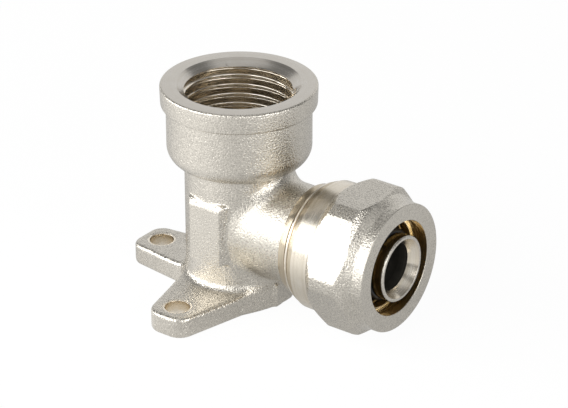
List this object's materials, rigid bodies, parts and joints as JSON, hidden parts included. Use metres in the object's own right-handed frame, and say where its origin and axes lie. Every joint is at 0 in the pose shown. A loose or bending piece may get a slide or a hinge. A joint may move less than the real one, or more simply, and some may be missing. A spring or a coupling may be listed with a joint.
{
  "type": "wall plate elbow",
  "caption": "Brass wall plate elbow: female threaded socket on a lugged plate, with a sideways compression outlet for multilayer pipe, its hex nut, split ring and seals.",
  "frame": {"origin": "centre of the wall face, on the threaded socket's axis", "axes": "+Z out of the wall along the socket's axis, +X along the outlet towards its mouth, +Y completes the right-handed frame"},
  "size_m": [0.0565, 0.044, 0.04],
  "materials": {
    "nickel_body": "nickel-plated forged brass, shot-blasted, with turned faces",
    "nickel_nut": "nickel-plated brass, turned and satin",
    "bare_brass": "bare turned brass",
    "seal_rubber": "smooth black rubber",
    "washer_plastic": "black moulded plastic"
  },
  "bodies": {
    "fitting": {"elbow_body": "nickel_body", "o_ring_inner": "seal_rubber", "o_ring_outer": "seal_rubber", "insulating_washer": "washer_plastic"},
    "ring": {"split_ring": "bare_brass"},
    "nut": {"compression_nut": "nickel_nut"}
  },
  "joints": [
    {"name": "ring_slide", "type": "slide", "parent": "fitting", "child": "ring", "axis": [1, 0, 0], "range_m": [0, 0.006]},
    {"name": "nut_turn", "type": "hinge", "parent": "ring", "child": "nut", "pos_m": [0.018, 0, 0.0146], "axis": [1, 0, 0], "range_deg": [0, 1440]}
  ],
  "couplings": [
    {"joint": "ring_slide", "follows": "nut_turn", "m_per_rad": 0.00023873}
  ]
}
